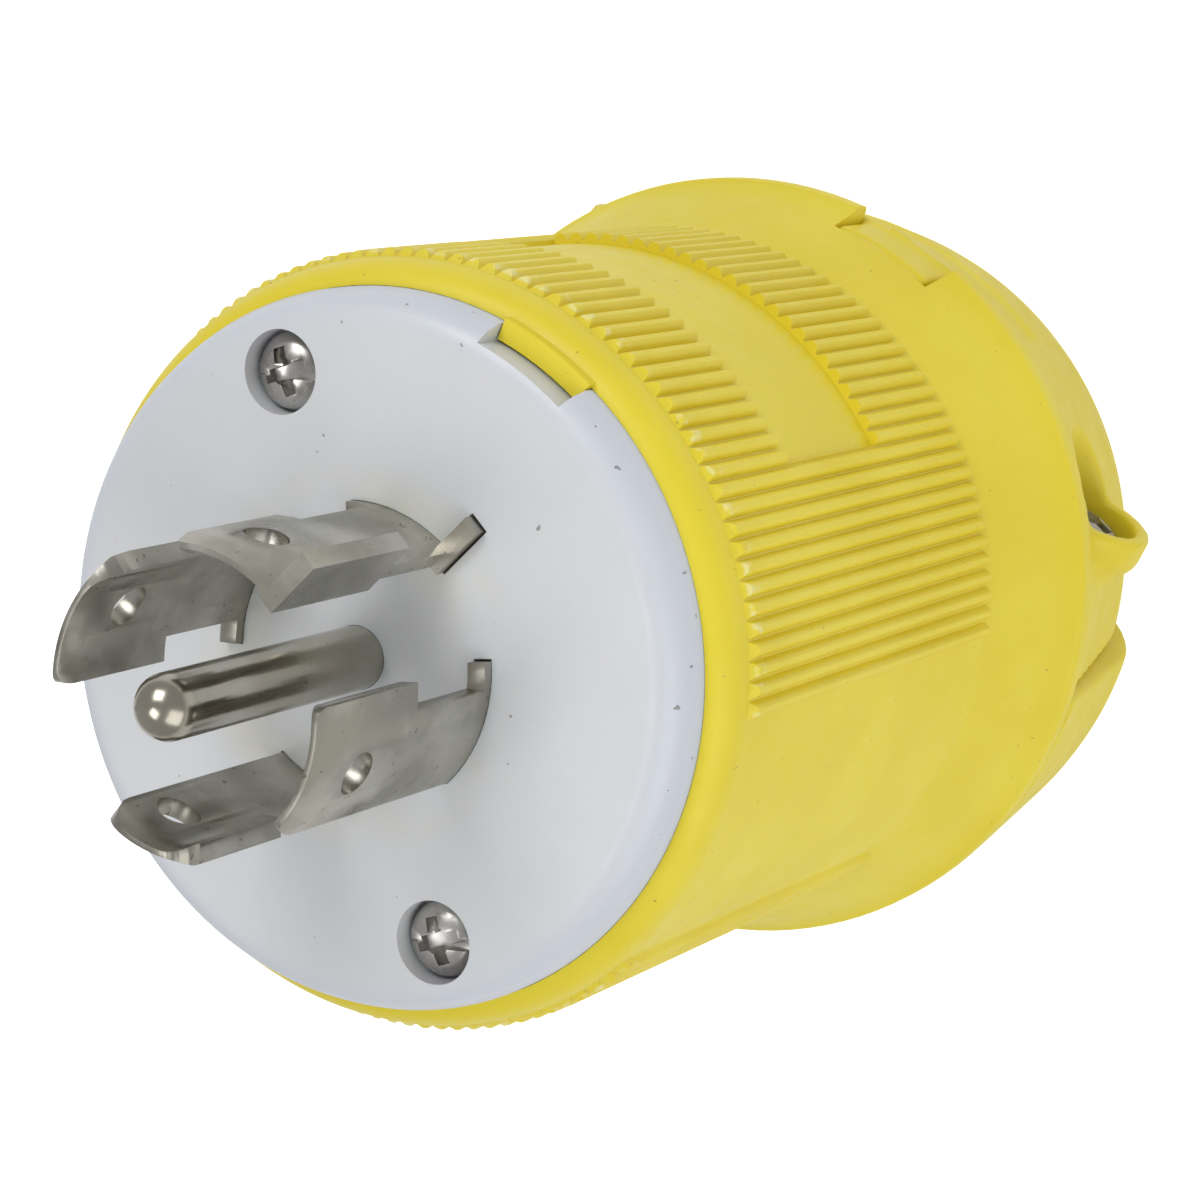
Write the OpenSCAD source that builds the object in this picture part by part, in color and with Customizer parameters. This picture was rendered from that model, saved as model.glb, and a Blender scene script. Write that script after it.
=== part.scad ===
// Locking power plug: four curved blades and a centre ground pin in a ribbed round housing.
// The plug stands on its tail. Z = 0 is the tail end, +Z runs along the plug to the blades.
// Angles are measured round Z from +X. The cord clamp opens along -Y.

/* [Housing] */
// Diameter over the grip ribs
barrel_d = 57.2; // [56:0.2:60]
// Straight length of the ribbed barrel, from the flange band to the rim corner
barrel_h = 42.8; // [40:0.2:50]
// Height of the flange edge over the ribs
flange_out = 3.6; // [3.4:0.1:5]
// Length of the conical band that rises from the barrel to the flange edge
band_h = 10; // [9:0.1:12]
// Length of the straight lip behind the flange edge
lip_h = 1.5; // [1.2:0.1:2.5]
// Rise of the rounded rim from its outer corner to the face opening
rim_rise = 1.3; // [0.8:0.1:2]
// Width of the chamfer between the rim corner and the ribs
rim_chamfer = 1.5; // [1:0.1:2.5]
// Wall of the flange lip round the clamp body
lip_wall = 1.8; // [1.4:0.1:2]
// Depth that the inner seat for the clamp body lies behind the barrel
seat_drop = 1; // [0.5:0.1:2]

/* [Grip] */
// Ribs that would fit on the whole circle
rib_count = 126; // [108:2:138]
// Height of a rib over the plain barrel
rib_h = 0.6; // [0.3:0.05:0.8]
// Length of the plain barrel left behind the ribs
rib_run_out = 0.8; // [0.4:0.1:2]
// Half angle of the plain stretch at each mould parting
plain_half_a = 20.5; // [16:0.5:26]
// Angle at which the label panel is centred
panel_a = 90; // [86:1:94]
// Half angle of the label panel
panel_half_a = 34; // [24:1:38]
// Distance of the label panel behind the rim corner
panel_inset = 13.4; // [8:0.2:18]
// Length of the label panel along the barrel
panel_h = 15; // [10:0.5:20]
// Angle at which the window in the flange lip is centred
window_a = 87.5; // [80:0.5:100]
// Half angle of that window
window_half_a = 8.8; // [6:0.1:14]
// Length of the window, from the rear edge of the lip
window_h = 5.2; // [4:0.1:6]

/* [Face] */
// Width of the yellow rim, from the ribs to the edge of the face
rim_w = 2.7; // [2.6:0.1:3.4]
// Thickness of the face moulding
face_t = 9; // [8:0.1:11]
// Height of the face above the rim opening
face_proud = 3.3; // [2.8:0.1:4.5]
// Radius on the edge of the face
face_edge_r = 2.4; // [1:0.1:2.6]
// Angle at which the housing key is centred
key_a = 85; // [75:1:100]
// Half angle of the housing key that seats in the edge of the face
key_half_a = 8.6; // [6:0.1:12]
// Radial depth of the key notch in the face
key_depth = 1.2; // [1:0.1:2]
// Height of the key above the rim opening
key_h = 0.6; // [0.4:0.1:1.5]
// Distance of the face screws in from the edge of the face
screw_in = 5; // [4.8:0.1:5.5]
// Angle of the first face screw; the second is opposite
screw_a = 135; // [130:1:140]
// Diameter of the screw pocket in the face
pocket_d = 6.1; // [6:0.1:6.6]
// Depth of the screw pocket in the face
pocket_h = 2.7; // [2.6:0.1:3.5]

/* [Blades] */
// Radius of the circle that the blades lie on, at mid thickness
blade_r = 10.5; // [10:0.1:11]
// Thickness of the blade stock
blade_t = 1.4; // [1.2:0.1:1.6]
// Length of the blades in front of the face
blade_out = 20.7; // [18:0.1:23]
// Length of the full-width blade head, from the tip to the locking notch
head_h = 11.3; // [9:0.1:13]
// Angle that the locking notch takes off the blade
notch_a = 10.5; // [8:0.5:12]
// Height of the blade root showing above the face
root_out = 0.9; // [0.4:0.1:1.4]
// Radius of the rounded blade corners
blade_corner = 1; // [0.6:0.1:1.6]
// Radius of the large lead-in corner on the widest blade
lead_corner = 3; // [1.6:0.1:3.6]
// Size of the bevels on the blade tips
blade_bevel = 0.5; // [0.2:0.05:0.6]
// Diameter of the detent hole in each blade
detent_d = 3.2; // [2.4:0.1:3.6]
// Distance of the detent hole from the blade tip
detent_in = 5.4; // [4.5:0.1:6.5]
// Length of the outward arm on the neutral blade
arm_len = 4.6; // [3:0.1:5]
// Lean of that arm away from the radius
arm_lean = 3; // [0:1:12]
// Width of each blade tail inside the terminal base
tail_w = 7; // [6.5:0.1:7]
// Diameter of the ground pin
pin_d = 4.6; // [4:0.1:5]
// Difference between the diameters of the pin and of its root behind the face
pin_step = 0.4; // [0.4:0.1:0.8]
// Radius of the collar of the pin under the face
collar_r = 3.8; // [3.2:0.1:4.5]
// Height of that collar
collar_h = 2; // [1.5:0.1:3]
// Length of the riveted foot of the pin below the strap
pin_foot = 1; // [0.6:0.1:1.5]
// Length of the ground pin in front of the face
pin_out = 24.4; // [22:0.1:27]

/* [Terminals] */
// Diameter of the terminal screw threads
term_screw_d = 4; // [3.5:0.1:4.2]
// Diameter of the terminal screw heads
term_head_d = 7; // [6.5:0.1:7.4]
// Height of the terminal screw heads
term_head_h = 2.2; // [1.8:0.1:2.6]
// Space for the bared wire under each pressure plate
wire_gap = 3.2; // [2.4:0.1:3.6]
// Thickness of the pressure plates
plate_t = 1.4; // [1:0.1:1.8]
// Width and length of the pressure plates
plate_w = 7.4; // [7:0.1:8]
// Width of the wire wells in the terminal base
well_w = 8.2; // [8:0.1:8.6]
// Distance of the ground terminal outside the circle of the others
ground_shift = 2.2; // [2:0.1:2.4]
// Length of the terminal screws under their heads
term_shank = 9.4; // [8.5:0.1:10]
// Distance from the bottom of the terminal base to the terminal screws
term_z = 10; // [8:0.5:12]

/* [Cord clamp] */
// Height of the tail behind the flange lip
tail_h = 28; // [26:0.5:32]
// Step in from the flange edge to the tail
tail_in = 0.6; // [0.5:0.1:1.2]
// Radius that the taper would take off the clamp body between the lip and the tail end
tail_taper = 5.5; // [4:0.1:6]
// Radius that the taper would take off the clamp jaw between the lip and the tail end
jaw_taper = 3.6; // [3:0.1:5]
// Height of the round end of the tail
dome_h = 12; // [10:0.5:14]
// Depth of the plain label field on top of the tail
field_depth = 0.4; // [0.2:0.05:0.6]
// Half angle of that field
field_half_a = 24; // [18:0.5:27]
// Distance from the flange lip to the far edge of that field
field_h = 9.3; // [6:0.1:11]
// Radius of the flat end that the plug stands on
foot_r = 18; // [16:0.5:20]
// Wall of the hollow tail
tail_wall = 2.8; // [2.2:0.1:3.2]
// Radius of the way from the cord entry to the terminals
chamber_r = 15.5; // [14:0.5:16]
// Thickness of the plate that carries the posts
post_plate = 3; // [2.5:0.5:4]
// Depth of the nut columns below the plug axis
column_h = 14; // [13:0.5:16]
// Thickness of the end wall that grips the cord
end_wall = 8; // [6:0.5:10]
// Radius of the cord entry
cord_r = 11; // [9:0.5:12]
// Height of the grip ridges in the cord entry
ridge_h = 1; // [0.5:0.1:1.5]
// Offset of the split between clamp body and clamp jaw from the plug axis
split_y = 5.8; // [4:0.1:7]
// Running gap between the clamp jaw and what is next to it
jaw_gap = 0.35; // [0.3:0.05:0.6]
// Amount by which the jaw stands proud of the clamp body at the lip
jaw_proud = 0.5; // [0.2:0.1:0.5]
// Distance of each clamp screw in from the side of the tail
lug_in = 8.2; // [8:0.1:8.8]
// Height of the clamp screws above the tail end
lug_z = 21.5; // [20:0.5:21.5]
// Radius of the screw lugs
lug_r = 5.6; // [5.4:0.1:5.8]
// Radius of the screw pocket in each lug
lug_pocket_r = 4.3; // [4.2:0.1:4.4]
// Height of the lug rim over the plug axis
lug_top_y = 18.2; // [17:0.2:20]
// Height of the lug rim over the point where its foot runs into the tail
lug_foot = 9; // [7:0.5:11]
// Radius of that foot
lug_foot_r = 2.2; // [1.6:0.2:3.4]
// Depth of the screw seat below the lug rim
lug_seat = 3.3; // [3.2:0.1:4.6]
// Diameter of the clamp screws
clamp_screw_d = 4; // [3.5:0.1:4.2]
// Diameter of the clamp screw heads
clamp_head_d = 7.8; // [7:0.1:8]
// Height of the clamp screw heads
clamp_head_h = 2.8; // [2.4:0.1:3]
// Length of the clamp screws under the head
clamp_screw_len = 25; // [24:0.5:27]
// Distance of the clamp nuts below the split
nut_drop = 6.5; // [5:0.5:8]
// Width of the square clamp nuts
nut_w = 7; // [6.5:0.1:7.4]
// Thickness of the clamp nuts
nut_t = 3.2; // [2.8:0.1:3.6]

/* [Fasteners] */
// Diameter of the face screw threads
face_screw_d = 3.5; // [3:0.1:4]
// Diameter of the face screw heads
face_head_d = 5.7; // [5.4:0.1:5.8]
// Height of the face screw heads
face_head_h = 2.4; // [2:0.1:2.8]
// Outer diameter of the threaded inserts for the face screws
insert_d = 5.6; // [5:0.1:6]
// Length of the threaded inserts
insert_len = 8; // [6:0.5:10]
// Length of the posts on the clamp body
post_h = 11.5; // [10:0.5:14]
// Diameter of those posts
post_d = 8.4; // [8:0.1:9]

/* [Fits] */
// Clearance of each metal piece in its slot or hole, on the radius
fit = 0.15; // [0.1:0.05:0.25]
// Clearance of the face and the terminal base in the housing, on the radius
body_fit = 0.2; // [0.15:0.05:0.3]

/* [Hidden] */
$fn = 96;
eps = 0.02;
far = 200;

nylon = [0.90, 0.80, 0.18];
milk = [0.90, 0.92, 0.93];
grey = [0.62, 0.63, 0.62];
nickel = [0.70, 0.68, 0.64];
brass = [0.76, 0.62, 0.32];
green = [0.20, 0.45, 0.25];
zinc = [0.72, 0.73, 0.75];

// heights, from the tail end up
z_lip = tail_h;
z_edge = z_lip + lip_h;
z_barrel = z_edge + band_h;
z_seat = z_barrel - seat_drop;
z_corner = z_barrel + barrel_h;
z_rim = z_corner + rim_rise;
z_face = z_rim + face_proud;
z_shelf = z_face - face_t;
z_base = z_seat + post_h;
z_tip = z_face + blade_out;
z_term = z_base + term_z;
z_panel = z_corner - panel_inset - panel_h;

// radii
barrel_r = barrel_d / 2;
core_r = barrel_r - rib_h;
corner_r = barrel_r - rib_h;
flange_r = barrel_r + flange_out;
face_r = barrel_r - rim_w;
screw_pcr = face_r - screw_in;
tail_r = flange_r - tail_in;
lug_x = tail_r - lug_in;
face_bore_r = face_r + body_fit;
base_r = face_r - 1.2;
base_bore_r = base_r + body_fit;
lip_in_r = flange_r - lip_wall;
seat_r = core_r - 1.6;
z_tail = z_lip - jaw_gap;
tongue_r = tail_r - field_depth - 0.2;
jaw_y = split_y - jaw_gap;
seat_y = lug_top_y - lug_seat;
nut_y = jaw_y - nut_drop;
pin_z = z_face + pin_out;
plate_in = blade_r + blade_t / 2 + wire_gap;
strap_z = z_base + 1.8;

// blades: start and end angle, angle of the detent hole, angle of the terminal, then the
// radius of the corner at the start and at the end
line_1 = [-20, 31, 3, 5, blade_corner, blade_corner];
line_2 = [151, 206, 176, 179, lead_corner, blade_corner];
line_3 = [257, 297, 271, 277, 2.5 * blade_corner, 2 * blade_corner];
neutral = [73.5, 118.5, 101, 97, blade_corner / 2, blade_corner / 2];
ground_a = 228;
blade_in = blade_r - blade_t / 2;
blade_over = blade_r + blade_t / 2;
tail_half_a = tail_w / 2 * 180 / (PI * blade_r);

// ---- shared shapes ----

function arc_points(cx, cy, rx, ry, from, to, steps) =
    [for (i = [0 : steps]) let (t = from + (to - from) * i / steps)
        [cx + rx * cos(t), cy + ry * sin(t)]];

// a curved block between two radii, two heights and two angles
module sector(r0, r1, z0, z1, from, to) {
    rotate([0, 0, from])
        rotate_extrude(angle = to - from)
            translate([r0, z0]) square([r1 - r0, z1 - z0]);
}

// a round rod along the radius at an angle and height
module radial(r, r0, r1, angle, z) {
    rotate([0, 0, angle]) translate([r0, 0, z]) rotate([0, 90, 0])
        cylinder(r = r, h = r1 - r0);
}

// cross recess for a screwdriver, cut down from Z = 0
module cross_recess(width, depth) {
    for (a = [0, 90])
        rotate([0, 0, a])
            translate([-width / 2, -width / 7, -depth])
                cube([width, width * 2 / 7, depth + eps]);
    translate([0, 0, -depth]) cylinder(d1 = width * 0.25, d2 = width * 0.6, h = depth + eps);
}

// pan head with its flat side on Z = 0
module pan_head(d, h) {
    difference() {
        rotate_extrude()
            polygon(concat([[0, 0], [d / 2, 0], [d / 2, h * 0.35]],
                arc_points(0, h * 0.35, d / 2, h * 0.65, 10, 90, 7)));
        translate([0, 0, h]) cross_recess(d * 0.62, h * 0.7);
    }
}

// the two places that the face screws pass
module at_face_screws() {
    for (a = [screw_a, screw_a + 180])
        rotate([0, 0, a]) translate([screw_pcr, 0, 0]) children();
}

// the two clamp screw axes, with +Z of the child along +Y
module at_clamp_screws(y) {
    for (side = [-1, 1])
        translate([side * lug_x, y, lug_z]) rotate([-90, 0, 0]) children();
}

// ---- housing ----

// rounded grip ribs between two angles, as one extruded outline
module ribs(from, to) {
    pitch = 360 / rib_count;
    count = floor((to - from) / pitch);
    start = (from + to - count * pitch) / 2;
    shape = [[0.04, -0.05], [0.2, 0.62], [0.36, 0.97], [0.64, 0.97], [0.8, 0.62], [0.96, -0.05]];
    outline = [for (i = [0 : count - 1]) for (p = shape)
        let (a = start + (i + p[0]) * pitch, r = core_r + rib_h * p[1])
            [r * cos(a), r * sin(a)]];
    inner = [for (i = [0 : 12])
        let (a = start + count * pitch * (12 - i) / 12, r = core_r - 0.8)
            [r * cos(a), r * sin(a)]];
    translate([0, 0, z_barrel + rib_run_out])
        linear_extrude(barrel_h - rib_run_out)
            polygon(concat(outline, inner));
}

module housing_outside() {
    lip_round = lip_h * 0.4;
    rotate_extrude()
        polygon(concat(
            [[0, z_lip], [flange_r - lip_round, z_lip]],
            arc_points(flange_r - lip_round, z_lip + lip_round, lip_round, lip_round, -60, 0, 4),
            arc_points(flange_r - 0.8, z_edge, 0.8, 0.8, 0, 60, 4),
            [[core_r + 0.25, z_barrel + 0.2], [core_r, z_barrel + 0.9],
             [core_r, z_corner - rim_chamfer]],
            arc_points(core_r - rim_rise * 1.9, z_corner - rim_chamfer,
                rim_rise * 1.9, rim_rise + rim_chamfer, 8, 90, 8),
            [[0, z_rim]]));
    intersection() {
        union() {
            ribs(plain_half_a, 180 - plain_half_a);
            ribs(180 + plain_half_a, 360 - plain_half_a);
        }
        rotate_extrude()
            polygon([[0, 0], [far, 0], [far, z_corner - rim_chamfer - rib_h * 2],
                [barrel_r + eps, z_corner - rim_chamfer - rib_h * 1.2],
                [core_r - 0.3, z_corner - rim_chamfer + 0.2], [0, z_corner]]);
    }
}

module housing() {
    color(nylon)
    union() {
        difference() {
            housing_outside();
            // bore for the face, bore for the terminal base, pocket for the clamp body
            translate([0, 0, z_shelf]) cylinder(r = face_bore_r, h = far);
            translate([0, 0, z_seat - eps]) cylinder(r = base_bore_r, h = far);
            rotate_extrude()
                polygon([[0, 0], [lip_in_r, 0], [lip_in_r, z_edge],
                    [seat_r, z_seat], [0, z_seat]]);
            // label panel, at the level of the plain barrel
            sector(core_r - 0.25, far, z_panel, z_panel + panel_h,
                panel_a - panel_half_a, panel_a + panel_half_a);
            // window in the lip
            sector(lip_in_r - 2, far, 0, z_lip + window_h,
                window_a - window_half_a, window_a + window_half_a);
        }
        // key for the face, standing on the rim
        sector(face_r - key_depth + body_fit, face_r + 0.6, z_shelf + 1, z_rim + key_h,
            key_a - key_half_a, key_a + key_half_a);
    }
}

// ---- face ----

// the section that a blade fills in the face, grown by a clearance
module blade_slot(blade, z0, z1) {
    side = fit * 180 / (PI * blade_r);
    sector(blade_in - fit, blade_over + fit, z0, z1, blade[0] - side, blade[1] + side);
}

module face() {
    color(milk)
    difference() {
        rotate_extrude()
            polygon(concat([[0, z_shelf], [face_r, z_shelf]],
                arc_points(face_r - face_edge_r, z_face - face_edge_r,
                    face_edge_r, face_edge_r, 0, 90, 10),
                [[0, z_face]]));
        for (b = [line_1, line_2, line_3, neutral])
            blade_slot(b, z_shelf - 1, z_face + 1);
        translate([0, 0, z_shelf - 1]) arm(fit, face_t + 2);
        translate([0, 0, z_shelf - 1]) cylinder(d = pin_d + 2 * fit, h = far);
        at_face_screws() {
            translate([0, 0, z_shelf - 1]) cylinder(d = face_screw_d + 2 * fit, h = far);
            translate([0, 0, z_face - pocket_h]) cylinder(d = pocket_d, h = far);
        }
        sector(face_r - key_depth, far, 0, far,
            key_a - key_half_a - 0.3, key_a + key_half_a + 0.3);
    }
}

// ---- blades and pin ----

// outward arm at the start edge of the neutral blade, grown by a clearance
module arm(grow, h) {
    rotate([0, 0, neutral[0]]) translate([blade_r, 0, 0]) rotate([0, 0, -arm_lean])
        translate([-blade_t / 2 - grow, -blade_t / 2 - grow, 0])
            cube([arm_len + 2 * grow, blade_t + 2 * grow, h]);
}

// what is taken off a blade tip corner to round it; side is 1 at the end edge, -1 at the start
module corner_cut(angle, side, c) {
    // the arc runs on past both of its ends, clear of the blade
    low = c * sin(15);
    near = c - c * cos(15);
    shape = concat([[near, -low]], arc_points(-c, 0, c, c, 15, 75, 4),
        [[-c - low, c + near], [-c - low, c + 1], [1, c + 1], [1, -low]]);
    rotate([0, 0, angle]) translate([blade_in - 2, 0, z_tip - c]) rotate([90, 0, 90])
        linear_extrude(blade_t + 4) polygon([for (p = shape) [side * p[0], p[1]]]);
}

// a curved strip with a bevelled tip; the notch, the shoulders and the holes are cut out of it
module blade(b) {
    slope = blade_bevel * 2.6;
    z_foot = z_term - plate_w / 2;
    z_notch = z_face + root_out;
    difference() {
        rotate([0, 0, b[0]])
            rotate_extrude(angle = b[1] - b[0])
                polygon([[blade_in, z_foot], [blade_over, z_foot],
                    [blade_over, z_tip - slope], [blade_over - blade_bevel, z_tip],
                    [blade_in + blade_bevel, z_tip], [blade_in, z_tip - slope]]);
        sector(blade_in - 1, blade_over + 1, z_notch, z_tip - head_h, b[1] - notch_a, b[1] + 5);
        sector(blade_in - 1, blade_over + 1, z_foot - 1, z_shelf, b[0] - 5, b[3] - tail_half_a);
        sector(blade_in - 1, blade_over + 1, z_foot - 1, z_shelf, b[3] + tail_half_a, b[1] + 5);
        if (b[4] > 0) corner_cut(b[0], -1, b[4]);
        if (b[5] > 0) corner_cut(b[1], 1, b[5]);
        radial(detent_d / 2, blade_in - 1, blade_over + 1, b[2], z_tip - detent_in);
        radial(term_screw_d / 2 + fit, blade_in - 1, blade_over + 1, b[3], z_term);
    }
}

module blade_line_1() { color(nickel) blade(line_1); }
module blade_line_2() { color(nickel) blade(line_2); }
module blade_line_3() { color(nickel) blade(line_3); }
module blade_neutral() {
    color(nickel) {
        blade(neutral);
        translate([0, 0, z_tip - head_h]) arm(0, head_h);
        translate([0, 0, z_shelf]) arm(0, z_face + root_out - z_shelf);
    }
}

// round pin with a ball end, a root behind the face with a collar, and a riveted foot
module ground_pin() {
    color(nickel) {
        translate([0, 0, z_face]) cylinder(d = pin_d, h = pin_out - pin_d / 2);
        translate([0, 0, pin_z - pin_d / 2]) sphere(d = pin_d);
        translate([0, 0, strap_z - pin_foot])
            cylinder(d = pin_d - pin_step, h = z_face - strap_z + pin_foot + eps);
        translate([0, 0, z_shelf - collar_h]) cylinder(r = collar_r, h = collar_h);
    }
}

// ---- terminals ----

// the pieces of one terminal are drawn along +X and turned into place
module at_terminal(angle, shift = 0) {
    rotate([0, 0, angle]) translate([shift, 0, 0]) children();
}

module ground_strap() {
    tab_x = blade_in + ground_shift;
    color(nickel)
    rotate([0, 0, ground_a])
    difference() {
        union() {
            translate([0, 0, strap_z]) cylinder(d = tail_w, h = blade_t);
            translate([0, -tail_w / 2, strap_z]) cube([tab_x + blade_t, tail_w, blade_t]);
            translate([tab_x, -tail_w / 2, strap_z])
                cube([blade_t, tail_w, z_term + plate_w / 2 - strap_z]);
        }
        translate([0, 0, strap_z - 1])
            cylinder(d = pin_d - pin_step + 2 * fit, h = blade_t + 2);
        radial(term_screw_d / 2 + fit, tab_x - 1, tab_x + blade_t + 1, 0, z_term);
    }
}

module terminal_screw() {
    radial(term_screw_d / 2, plate_in + plate_t - term_shank, plate_in + plate_t + eps, 0, z_term);
    translate([plate_in + plate_t, 0, z_term]) rotate([0, 90, 0])
        pan_head(term_head_d, term_head_h);
}

module pressure_plate() {
    translate([plate_in, 0, z_term])
    difference() {
        union() {
            translate([0, -plate_w / 2, -plate_w / 2]) cube([plate_t, plate_w, plate_w]);
            // two teeth that bite the wire
            for (side = [-1, 1])
                translate([0, side * plate_w * 0.36, -plate_w / 2]) rotate([0, 0, 45])
                    cube([0.8, 0.8, plate_w]);
        }
        rotate([0, 90, 0]) translate([0, 0, -2])
            cylinder(d = term_screw_d + 2 * fit, h = plate_t + 4);
    }
}

module line_terminal_screws() {
    color(brass) for (b = [line_1, line_2, line_3]) at_terminal(b[3]) terminal_screw();
}
module neutral_terminal_screw() { color(zinc) at_terminal(neutral[3]) terminal_screw(); }
module ground_terminal_screw() {
    color(green) at_terminal(ground_a, ground_shift) terminal_screw();
}
module line_pressure_plates() {
    color(brass) for (b = [line_1, line_2, line_3]) at_terminal(b[3]) pressure_plate();
}
module neutral_pressure_plate() { color(zinc) at_terminal(neutral[3]) pressure_plate(); }
module ground_pressure_plate() {
    color(zinc) at_terminal(ground_a, ground_shift) pressure_plate();
}

// wire well of one terminal, open to the side and to the bottom
module well() {
    back = blade_in * cos(tail_half_a) - fit;
    translate([back, -well_w / 2, z_base - 1])
        cube([far, well_w, term_z + 1 + well_w / 2 + 0.8]);
    radial(term_screw_d / 2 + fit, plate_in + plate_t - term_shank - 0.4, back + 1, 0, z_term);
}

module terminal_base() {
    color(grey)
    difference() {
        translate([0, 0, z_base]) cylinder(r = base_r, h = z_shelf - z_base);
        for (b = [line_1, line_2, line_3, neutral]) {
            at_terminal(b[3]) well();
            blade_slot([b[3] - tail_half_a, b[3] + tail_half_a], z_term, z_shelf + 1);
        }
        // ground well, strap channel, pin hole and collar seat
        at_terminal(ground_a, ground_shift) well();
        rotate([0, 0, ground_a]) {
            translate([0, -well_w / 2, z_base - 1])
                cube([blade_in + ground_shift, well_w, strap_z + blade_t + fit - z_base + 1]);
            translate([0, 0, z_base - 1])
                cylinder(d = well_w, h = strap_z + blade_t + fit - z_base + 1);
        }
        translate([0, 0, z_base - 1]) cylinder(d = pin_d + 2 * fit, h = far);
        translate([0, 0, z_shelf - collar_h - fit]) cylinder(r = collar_r + fit, h = far);
        at_face_screws()
            translate([0, 0, z_base - 1]) cylinder(d = face_screw_d + 2 * fit, h = far);
    }
}

// ---- cord clamp ----

function taper(z) = tail_r - tail_taper * (z_tail - z) / z_tail;

// outside of the tail; off is the radius added at the lip, loss the radius its taper takes off
module tail_solid(off, loss) {
    function side(z) = tail_r + off - loss * (z_tail - z) / z_tail;
    rotate_extrude()
        polygon(concat([[0, 0]],
            [for (a = [90 : -9 : 0]) let (z = dome_h * (1 - sin(a)))
                [side(z) - (side(0) - foot_r) * (1 - cos(a)), z]],
            [[side(z_tail), z_tail], [0, z_tail]]));
}

// hollow of the tail, above the end wall, with the cord entry below it
module tail_hollow() {
    lead = 1.6;
    rotate_extrude()
        polygon([[0, end_wall], [taper(end_wall) - tail_wall - 3, end_wall],
            [taper(dome_h) - tail_wall, dome_h + 1],
            [taper(z_tail) - tail_wall, z_tail + 1], [0, z_tail + 1]]);
    // cord entry: a flared mouth and two flat grip ridges
    crest = cord_r - ridge_h;
    step = (end_wall - lead) / 8;
    rotate_extrude()
        polygon([[0, -1], [cord_r + lead, -1], [cord_r + lead, 0], [cord_r, lead],
            [crest, lead + step / 2], [crest, lead + 2 * step], [cord_r, lead + 2.5 * step],
            [cord_r, lead + 4 * step], [crest, lead + 4.5 * step], [crest, lead + 6 * step],
            [cord_r, lead + 6.5 * step], [cord_r, end_wall + 1], [0, end_wall + 1]]);
}

// everything on one side of the split
module above(y) { translate([-far / 2, y, -far / 2]) cube([far, far, far]); }
module below(y) { translate([-far / 2, y - far, -far / 2]) cube([far, far, far]); }

// ring that fits in the housing, with the plate that carries the posts
module clamp_ring() {
    ring_r = lip_in_r - body_fit;
    rotate_extrude()
        polygon([[ring_r - tail_wall, z_lip], [ring_r, z_lip], [ring_r, z_edge],
            [seat_r - body_fit, z_seat], [chamber_r, z_seat], [chamber_r, z_seat - post_plate],
            [seat_r - tail_wall - body_fit, z_seat - post_plate], [ring_r - tail_wall, z_edge]]);
}

module clamp_body() {
    color(nylon)
    difference() {
        union() {
            clamp_ring();
            difference() {
                intersection() {
                    union() {
                        tail_solid(0, tail_taper);
                        translate([0, 0, z_tail - eps])
                            cylinder(r = lip_in_r - body_fit, h = jaw_gap + 2 * eps);
                    }
                    above(split_y);
                }
                tail_hollow();
                translate([0, 0, z_tail - 1])
                    cylinder(r = lip_in_r - body_fit - tail_wall, h = 3);
                // label field
                rotate([0, 0, panel_a - field_half_a])
                    rotate_extrude(angle = 2 * field_half_a)
                        polygon([[taper(z_lip - field_h) - field_depth, z_lip - field_h],
                            [far, z_lip - field_h], [far, z_tail],
                            [tail_r - field_depth, z_tail]]);
            }
            intersection() {
                at_clamp_screws(split_y) cylinder(r = lug_r, h = lug_top_y - split_y);
                tail_solid(0, tail_taper);
            }
            // outside of the lug, running out downwards like a funnel
            at_clamp_screws(lug_top_y - lug_foot) {
                cylinder(r1 = lug_foot_r, r2 = lug_r, h = lug_foot - lug_seat + 0.8);
                translate([0, 0, lug_foot - lug_seat + 0.8 - eps])
                    cylinder(r = lug_r, h = lug_seat - 0.8 + eps);
            }
            // tongue that fills the window of the flange lip
            sector(lip_in_r - body_fit - tail_wall, tongue_r, z_tail - eps, z_lip + window_h - fit,
                window_a - window_half_a + 0.5, window_a + window_half_a - 0.5);
            intersection() {
                at_face_screws()
                    translate([0, 0, z_seat - eps]) cylinder(d = post_d, h = post_h + eps);
                translate([0, 0, z_seat - 1]) cylinder(r = base_r, h = post_h + 2);
            }
        }
        at_clamp_screws(seat_y) cylinder(r = lug_pocket_r, h = far);
        at_clamp_screws(split_y - 1) cylinder(d = clamp_screw_d + 2 * fit, h = far);
        at_face_screws() {
            translate([0, 0, z_base - insert_len - 0.4])
                cylinder(r = insert_d / 2 + 0.05, h = far);
            translate([0, 0, z_seat - 2 * post_plate])
                cylinder(d = face_screw_d + 2 * fit, h = post_h + 2 * post_plate);
        }
    }
}

module clamp_jaw() {
    color(nylon)
    difference() {
        union() {
            difference() {
                intersection() {
                    tail_solid(jaw_proud, jaw_taper);
                    below(jaw_y);
                }
                tail_hollow();
            }
            // columns for the screws, inside the outline of the jaw
            intersection() {
                at_clamp_screws(-column_h) cylinder(r = lug_r, h = column_h + jaw_y);
                tail_solid(jaw_proud, jaw_taper);
            }
        }
        at_clamp_screws(seat_y - clamp_screw_len - 1)
            cylinder(d = clamp_screw_d + 2 * jaw_gap, h = far);
        for (side = [-1, 1]) nut_slot(side);
    }
}

// slot in a column that a nut slides into from the inside
module nut_slot(side) {
    w = nut_w / 2 + fit;
    translate([side > 0 ? lug_x - lug_r - 1 : -lug_x - w, nut_y - nut_t - fit, lug_z - w])
        cube([lug_r + 1 + w, nut_t + 2 * fit, 2 * w]);
}

// ---- fasteners ----

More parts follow.
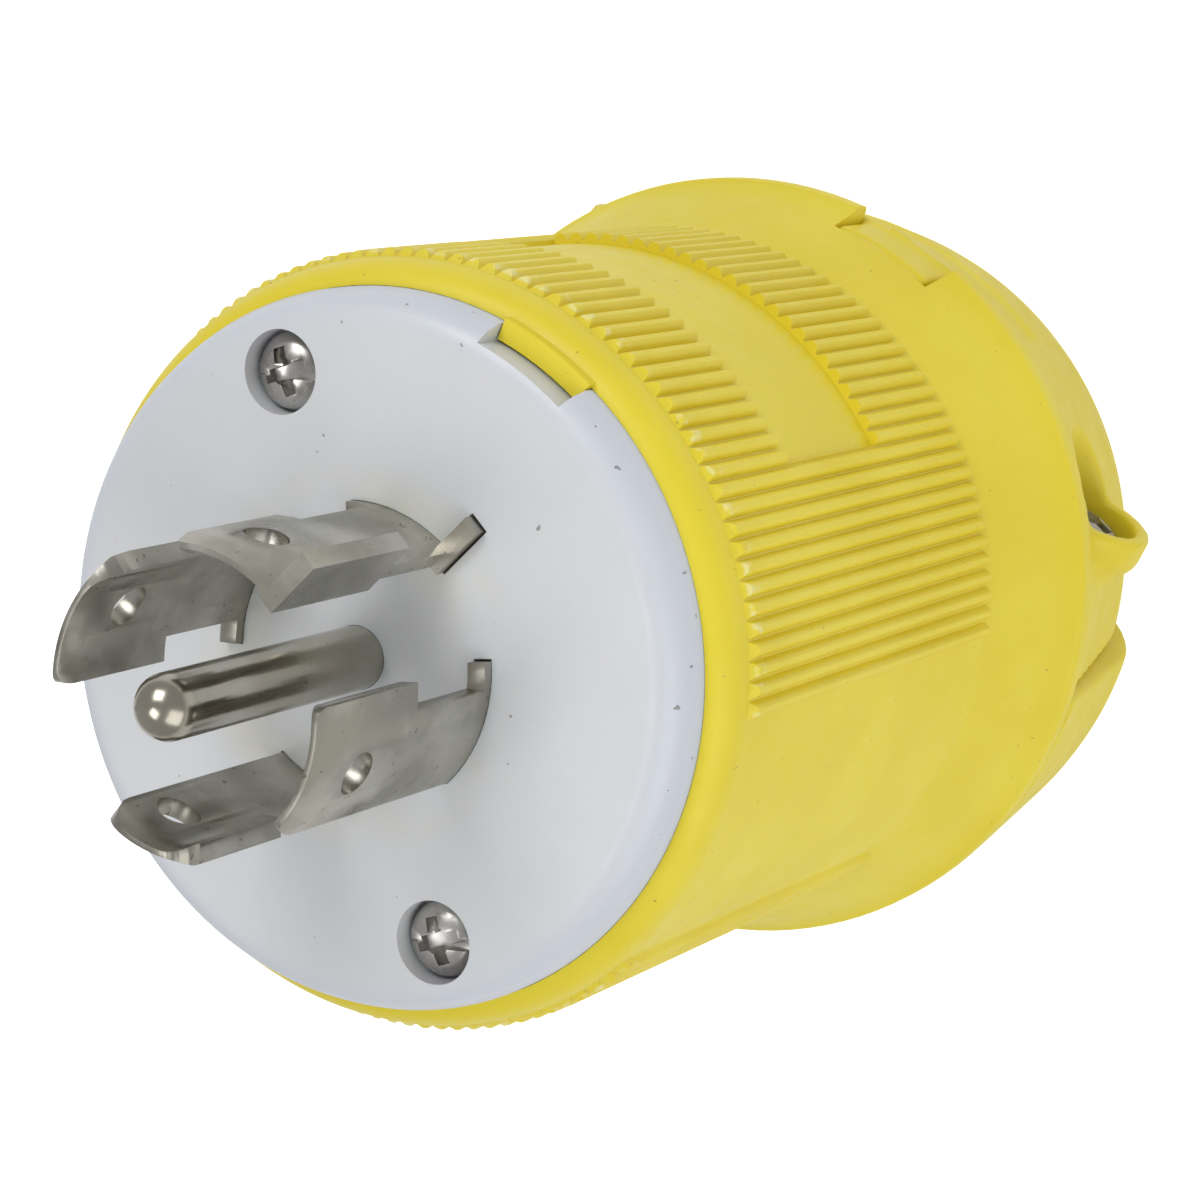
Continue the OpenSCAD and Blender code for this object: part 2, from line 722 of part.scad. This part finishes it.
module face_screws() {
    color(zinc)
    at_face_screws() {
        translate([0, 0, z_face - pocket_h]) pan_head(face_head_d, face_head_h);
        translate([0, 0, z_base - insert_len])
            cylinder(d = face_screw_d, h = z_face - pocket_h - z_base + insert_len + eps);
    }
}

module screw_inserts() {
    color(brass)
    at_face_screws() translate([0, 0, z_base - insert_len])
        difference() {
            cylinder(d = insert_d, h = insert_len - 0.2);
            translate([0, 0, -1]) cylinder(d = face_screw_d + fit, h = insert_len + 2);
        }
}

module clamp_screws() {
    color(zinc) {
        at_clamp_screws(seat_y) pan_head(clamp_head_d, clamp_head_h);
        at_clamp_screws(seat_y - clamp_screw_len)
            cylinder(d = clamp_screw_d, h = clamp_screw_len + eps);
    }
}

module clamp_nuts() {
    color(zinc)
    at_clamp_screws(nut_y - nut_t)
        difference() {
            translate([-nut_w / 2, -nut_w / 2, 0]) cube([nut_w, nut_w, nut_t]);
            translate([0, 0, -1]) cylinder(d = clamp_screw_d + 2 * jaw_gap, h = nut_t + 2);
        }
}

housing();
face();
terminal_base();
clamp_body();
clamp_jaw();
blade_line_1();
blade_line_2();
blade_line_3();
blade_neutral();
ground_pin();
ground_strap();
line_terminal_screws();
neutral_terminal_screw();
ground_terminal_screw();
line_pressure_plates();
neutral_pressure_plate();
ground_pressure_plate();
face_screws();
screw_inserts();
clamp_screws();
clamp_nuts();
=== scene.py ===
import math

import bpy
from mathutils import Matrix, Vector


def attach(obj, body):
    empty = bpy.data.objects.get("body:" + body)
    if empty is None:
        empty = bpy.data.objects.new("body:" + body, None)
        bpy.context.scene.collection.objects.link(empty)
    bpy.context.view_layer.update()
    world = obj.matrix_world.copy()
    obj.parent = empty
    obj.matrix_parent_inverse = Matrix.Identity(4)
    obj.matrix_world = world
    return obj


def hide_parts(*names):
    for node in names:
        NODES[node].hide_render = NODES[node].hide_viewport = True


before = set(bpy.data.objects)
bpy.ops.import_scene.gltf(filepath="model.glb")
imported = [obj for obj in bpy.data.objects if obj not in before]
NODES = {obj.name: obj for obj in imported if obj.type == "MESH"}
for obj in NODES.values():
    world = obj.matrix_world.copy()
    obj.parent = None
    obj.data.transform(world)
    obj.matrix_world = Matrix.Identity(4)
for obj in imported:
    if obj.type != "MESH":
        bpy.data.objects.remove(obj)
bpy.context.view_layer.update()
bpy.ops.object.select_all(action="DESELECT")

# ---------------------------------------------------------------------------------------------
# Camera: a long lens that looks down on the blades of the standing plug, rolled so that the
# plug's axis runs up to the right.
camera_data = bpy.data.cameras.new("camera")
camera_data.lens = 103.6
camera_data.sensor_width = 36
camera = bpy.data.objects.new("camera", camera_data)
camera.location = (0.09971, 0.09856, 0.28770)
camera.rotation_euler = [math.radians(a) for a in (-8.708, 29.639, 27.668)]
bpy.context.scene.collection.objects.link(camera)
bpy.context.scene.camera = camera
bpy.context.scene.view_settings.view_transform = "Standard"

# ---------------------------------------------------------------------------------------------
# Studio: a white floor and an even white world, with three soft lamps round the plug.


class Sock:
    """A shader value that adds a Math node for each operator."""

    def __init__(self, mat, link):
        self.mat, self.link = mat, link

    def op(self, kind, *others):
        inputs = {0: self, **dict(enumerate(others, 1))}
        return self.mat.node("ShaderNodeMath", {"operation": kind}, inputs)

    def __add__(self, o):
        return self.op("ADD", o)

    def __sub__(self, o):
        return self.op("SUBTRACT", o)

    def __mul__(self, o):
        return self.op("MULTIPLY", o)

    def ramp(self, low, high, out_low=0.0, out_high=1.0):
        return self.mat.node("ShaderNodeMapRange", {"interpolation_type": "SMOOTHSTEP"},
                             {0: self, 1: low, 2: high, 3: out_low, 4: out_high})


class Finish:
    """One procedural material, built node by node."""

    def __init__(self, name, **constants):
        self.material = bpy.data.materials.new(name)
        self.material.use_nodes = True
        self.tree = self.material.node_tree
        self.shader = self.tree.nodes["Principled BSDF"]
        for key, value in constants.items():
            self.shader.inputs[key.replace("_", " ")].default_value = value
        self.place = self.node("ShaderNodeTexCoord", {}, {}, out="Object")

    def node(self, kind, settings, inputs, out=0):
        made = self.tree.nodes.new(kind)
        for key, value in settings.items():
            setattr(made, key, value)
        for key, value in inputs.items():
            if isinstance(value, Sock):
                self.tree.links.new(value.link, made.inputs[key])
            else:
                made.inputs[key].default_value = value
        return Sock(self, made.outputs[out])

    def noise(self, scale, detail=2.0, rough=0.5, stretch=None):
        place = self.place
        if stretch:
            place = self.node("ShaderNodeMapping", {}, {"Vector": place, "Scale": stretch})
        return self.node("ShaderNodeTexNoise", {}, {
            "Vector": place, "Scale": scale, "Detail": detail, "Roughness": rough})

    def mix(self, factor, a, b):
        """Blend of two colours."""
        return self.node("ShaderNodeMix", {"data_type": "RGBA"}, {0: factor, 6: a, 7: b}, out=2)

    def axis(self, name):
        return self.node("ShaderNodeSeparateXYZ", {}, {0: self.place}, out=name)

    def bump(self, height, distance, strength=1.0, under=None):
        inputs = {"Height": height, "Distance": distance, "Strength": strength}
        if under:
            inputs["Normal"] = under
        return self.node("ShaderNodeBump", {}, inputs)

    def feed(self, **links):
        for key, value in links.items():
            self.tree.links.new(value.link, self.shader.inputs[key.replace("_", " ")])
        return self


bpy.ops.mesh.primitive_plane_add(size=6, location=(0, 0, -0.0002))
floor = bpy.context.object
floor.name = "studio_floor"
floor_finish = Finish("studio_floor", Base_Color=(0.93, 0.93, 0.93, 1), Roughness=0.9,
                      Emission_Strength=0.75)
seen = floor_finish.node("ShaderNodeLightPath", {}, {}, out="Is Camera Ray")
floor_finish.feed(Emission_Color=floor_finish.mix(seen, (0, 0, 0, 1), (1, 1, 1, 1)))
floor.data.materials.append(floor_finish.material)

world = bpy.data.worlds.new("studio")
world.use_nodes = True
world.node_tree.nodes["Background"].inputs[0].default_value = (1, 1, 1, 1)
world.node_tree.nodes["Background"].inputs[1].default_value = 0.42
bpy.context.scene.world = world

for name, spot, power, size in (
        ("key", (-0.35, 0.55, 0.75), 3.1, 0.5),
        ("fill", (0.62, -0.05, 0.42), 1.7, 0.6),
        ("above", (-0.05, -0.25, 0.95), 1.4, 0.4)):
    lamp_data = bpy.data.lights.new(name, "AREA")
    lamp_data.energy, lamp_data.size = power, size
    lamp = bpy.data.objects.new(name, lamp_data)
    lamp.location = spot
    lamp.rotation_euler = (Vector((0, 0, 0.06)) - Vector(spot)).to_track_quat("-Z", "Y").to_euler()
    bpy.context.scene.collection.objects.link(lamp)

# ---------------------------------------------------------------------------------------------
# Housing: one round shell of yellow nylon, moulded with the grip ribs, the flange, the label
# panel and the key. Two face screws pull it between the face and the cord clamp.


def dress(node, name, look, body="plug"):
    """A copy of a CAD node's mesh with its doubled points merged, standing for that node."""
    piece = bpy.data.objects.new(name, NODES[node].data.copy())
    piece.data.transform(NODES[node].matrix_world)
    bpy.context.scene.collection.objects.link(piece)
    bpy.ops.object.select_all(action="DESELECT")
    bpy.context.view_layer.objects.active = piece
    piece.select_set(True)
    bpy.ops.object.mode_set(mode="EDIT")
    bpy.ops.mesh.select_all(action="SELECT")
    bpy.ops.mesh.remove_doubles(threshold=0.000002)
    bpy.ops.mesh.customdata_custom_splitnormals_clear()
    bpy.ops.mesh.normals_make_consistent(inside=False)
    bpy.ops.object.mode_set(mode="OBJECT")
    piece.data.materials.clear()
    piece.data.materials.append(look.material)
    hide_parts(node)
    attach(piece, body)
    return piece


def apply(piece, kind, **settings):
    """Adds a modifier with these settings and applies it."""
    modifier = piece.modifiers.new(kind.lower(), kind)
    for key, value in settings.items():
        setattr(modifier, key, value)
    bpy.context.view_layer.objects.active = piece
    bpy.ops.object.modifier_apply(modifier=modifier.name)


def smooth(piece, degrees):
    """Smooth shading, but for edges sharper than this angle."""
    bpy.ops.object.select_all(action="DESELECT")
    bpy.context.view_layer.objects.active = piece
    piece.select_set(True)
    bpy.ops.object.shade_smooth_by_angle(angle=math.radians(degrees))


RIM_Z, RIBS_R = 0.0836, 0.0286


def yellow_nylon(name):
    """Satin yellow nylon with faint mottling, pinhead dirt and a fine moulded grain."""
    look = Finish(name, Roughness=0.4, Specular_IOR_Level=0.45, Coat_Roughness=0.25,
                  Subsurface_Weight=0.05, Subsurface_Scale=0.001)
    patch = look.noise(90, 3).ramp(0.35, 0.7)
    color = look.mix(patch, (0.82, 0.67, 0.032, 1), (0.86, 0.715, 0.048, 1))
    specks = look.noise(1500, 2, 0.6).ramp(0.735, 0.76)
    color = look.mix(specks * 0.55, color, (0.30, 0.24, 0.06, 1))
    look.feed(Roughness=look.noise(420, 4).ramp(0.3, 0.7, 0.36, 0.47),
              Normal=look.bump(look.noise(2600, 3), 0.00002, 0.35))
    return look, color


housing_look, housing_color = yellow_nylon("yellow_nylon_housing")
height = housing_look.axis("Z")
across, deep = housing_look.axis("X"), housing_look.axis("Y")
radius = (across * across + deep * deep).op("POWER", 0.5)
# the front ends of the ribs are scuffed pale, and so is the rim here and there
rib_end = (height.ramp(RIM_Z - 0.0052, RIM_Z - 0.0034)
           * height.ramp(RIM_Z - 0.0018, RIM_Z - 0.0010, 1, 0))
rib_crest = radius.ramp(RIBS_R - 0.0004, RIBS_R - 0.0002)
scuff = rib_end * rib_crest * housing_look.noise(700, 3).ramp(0.48, 0.6)
housing_color = housing_look.mix(scuff * 0.6, housing_color, (0.90, 0.86, 0.45, 1))
housing_look.feed(Base_Color=housing_color)
housing = dress("housing", "housing_shell", housing_look)
smooth(housing, 42)

# ---------------------------------------------------------------------------------------------
# Cord clamp: two yellow nylon half shells, moulded like the housing. The body is screwed to the
# posts under the face, and the two clamp screws draw the jaw against the cord. All their
# corners are generously rounded, as moulded corners are.
clamp_look, clamp_color = yellow_nylon("yellow_nylon_clamp")
clamp_look.feed(Base_Color=clamp_color)
for node, name, body in (
        ("clamp_body", "clamp_body_shell", "plug"),
        ("clamp_jaw", "clamp_jaw_shell", "jaw")):
    shell = dress(node, name, clamp_look, body)
    apply(shell, "REMESH", mode="VOXEL", voxel_size=0.00043, use_smooth_shade=True)
    apply(shell, "SMOOTH", factor=0.5, iterations=3)
    smooth(shell, 60)

# ---------------------------------------------------------------------------------------------
# Face: a thick disc of milky white nylon that closes the housing and holds the blades. The
# resin has yellowed a little round the slots, and it is marked with small nicks. Painted shade darkens
# it towards the rim.
FACE_Z, BLADES_R = 0.0869, 0.0105
face_look = Finish("white_nylon_face", Roughness=0.33, Specular_IOR_Level=0.5,
                   Subsurface_Weight=0.15, Subsurface_Scale=0.002)
across, deep = face_look.axis("X"), face_look.axis("Y")
radius = (across * across + deep * deep).op("POWER", 0.5)
off_circle = (radius - BLADES_R).op("ABSOLUTE")
stain = off_circle.ramp(0.0009, 0.0042, 1, 0) * face_look.noise(110, 3).ramp(0.35, 0.62)
face_color = face_look.mix(face_look.noise(60, 2), (0.67, 0.69, 0.715, 1), (0.705, 0.72, 0.735, 1))
face_color = face_look.mix(stain * 0.5, face_color, (0.73, 0.71, 0.58, 1))
# painted shade: the colour grows darker and bluer towards the face's rounded outer edge
edge_painted_shade = radius.ramp(0.0225, 0.0262)
face_color = face_look.mix(edge_painted_shade * 0.45, face_color, (0.60, 0.66, 0.80, 1))
specks = face_look.noise(900, 2, 0.6).ramp(0.74, 0.76)
face_color = face_look.mix(specks * 0.7, face_color, (0.16, 0.15, 0.14, 1))
face_look.feed(Base_Color=face_color, Roughness=face_look.noise(500, 4).ramp(0.3, 0.7, 0.28, 0.42),
               Normal=face_look.bump(face_look.noise(1800, 3), 0.00002, 0.3))
face = dress("face", "white_face", face_look)
# the nylon is moulded tight round the metal, so its walls close up to the blades, pin and rim
for point in face.data.vertices:
    flat = math.hypot(point.co.x, point.co.y)
    for wall, tight in (
            (0.00965, 0.00977), (0.01135, 0.01123), (0.00245, 0.00232), (0.0259, 0.02606)):
        if abs(flat - wall) < 0.00002:
            point.co.x *= tight / flat
            point.co.y *= tight / flat
smooth(face, 35)

# ---------------------------------------------------------------------------------------------
# Blades: strips of plated brass, cut from sheet, pierced, bevelled at the tip and curved to the
# circle of the outlet. The plating is satin, with a fine grain along the blade and dull specks.


def plated(name, pale, dark, rough=(0.24, 0.4)):
    look = Finish(name, Metallic=1.0, Roughness=0.3)
    cloud = look.noise(160, 4).ramp(0.35, 0.68)
    color = look.mix(cloud, dark, pale)
    spots = look.noise(1300, 2, 0.65).ramp(0.69, 0.73)
    color = look.mix(spots * 0.7, color, (0.13, 0.12, 0.10, 1))
    fine = look.noise(1, 3, stretch=(9000, 9000, 500))
    wavy = look.bump(look.noise(700, 3), 0.00003, 0.4)
    return look.feed(Base_Color=color, Roughness=look.noise(300, 4).ramp(0.3, 0.7, *rough),
                     Normal=look.bump(fine, 0.000008, 0.35, under=wavy))


blade_look = plated("plated_brass_blades", (0.50, 0.482, 0.435, 1), (0.32, 0.305, 0.262, 1))
for node in ("blade_line_1", "blade_line_2", "blade_line_3", "blade_neutral"):
    blade = dress(node, node + "_strip", blade_look)
    apply(blade, "BEVEL", width=0.00013, segments=3, limit_method="ANGLE",
          angle_limit=math.radians(38), use_clamp_overlap=True)
    smooth(blade, 40)

# ---------------------------------------------------------------------------------------------
# Ground pin: a turned pin of plated brass with a ball end, polished by use.
pin_look = plated("plated_brass_pin", (0.50, 0.472, 0.41, 1), (0.40, 0.373, 0.31, 1), (0.14, 0.24))
pin = dress("ground_pin", "ball_pin", pin_look)
smooth(pin, 40)

# ---------------------------------------------------------------------------------------------
# Screws: plated steel, headed and pressed with a cross. The two face screws take a flat
# screwdriver too, so a slot runs right across each of their heads.
steel_look = plated("plated_steel_screws", (0.60, 0.59, 0.565, 1), (0.36, 0.35, 0.325, 1), (0.2, 0.36))
SCREW_R, SCREW_ANGLE, POCKET, HEAD_H = 0.0209, 135, 0.0027, 0.0024
face_screws = dress("face_screws", "combination_screws", steel_look)
for turn in (SCREW_ANGLE, SCREW_ANGLE + 180):
    at = (SCREW_R * math.cos(math.radians(turn)), SCREW_R * math.sin(math.radians(turn)))
    bpy.ops.object.select_all(action="DESELECT")
    bpy.ops.mesh.primitive_cube_add(
        size=1, location=(*at, FACE_Z - POCKET + HEAD_H - 0.0002),
        rotation=(0, 0, math.radians(turn + 70)), scale=(0.009, 0.0009, 0.0016))
    blank = bpy.context.object
    apply(face_screws, "BOOLEAN", object=blank, operation="DIFFERENCE", solver="EXACT")
    bpy.data.objects.remove(blank)
apply(face_screws, "BEVEL", width=0.00009, segments=2, limit_method="ANGLE",
      angle_limit=math.radians(45))
smooth(face_screws, 40)

clamp_screws = dress("clamp_screws", "clamp_screw_pair", steel_look)
apply(clamp_screws, "BEVEL", width=0.00012, segments=2, limit_method="ANGLE",
      angle_limit=math.radians(45))
smooth(clamp_screws, 40)

# ---------------------------------------------------------------------------------------------
# Inside the plug: the grey terminal base, the strap, the terminal screws with their plates, the
# inserts and the nuts. They keep their solids, and take the finish of their metal or plastic.
grey_look = Finish("grey_plastic", Roughness=0.5)
grey_look.feed(Base_Color=grey_look.mix(
    grey_look.noise(200, 3), (0.16, 0.165, 0.17, 1), (0.2, 0.205, 0.21, 1)))
brass_look = plated("bare_brass", (0.70, 0.50, 0.20, 1), (0.52, 0.36, 0.14, 1))
green_look = plated("green_steel", (0.12, 0.34, 0.13, 1), (0.07, 0.22, 0.08, 1))
for look, nodes in (
        (grey_look, ("terminal_base",)),
        (blade_look, ("ground_strap",)),
        (brass_look, ("line_terminal_screws", "line_pressure_plates", "screw_inserts")),
        (green_look, ("ground_terminal_screw",)),
        (steel_look, ("neutral_terminal_screw", "neutral_pressure_plate", "ground_pressure_plate",
                      "clamp_nuts"))):
    for node in nodes:
        NODES[node].data.materials.clear()
        NODES[node].data.materials.append(look.material)
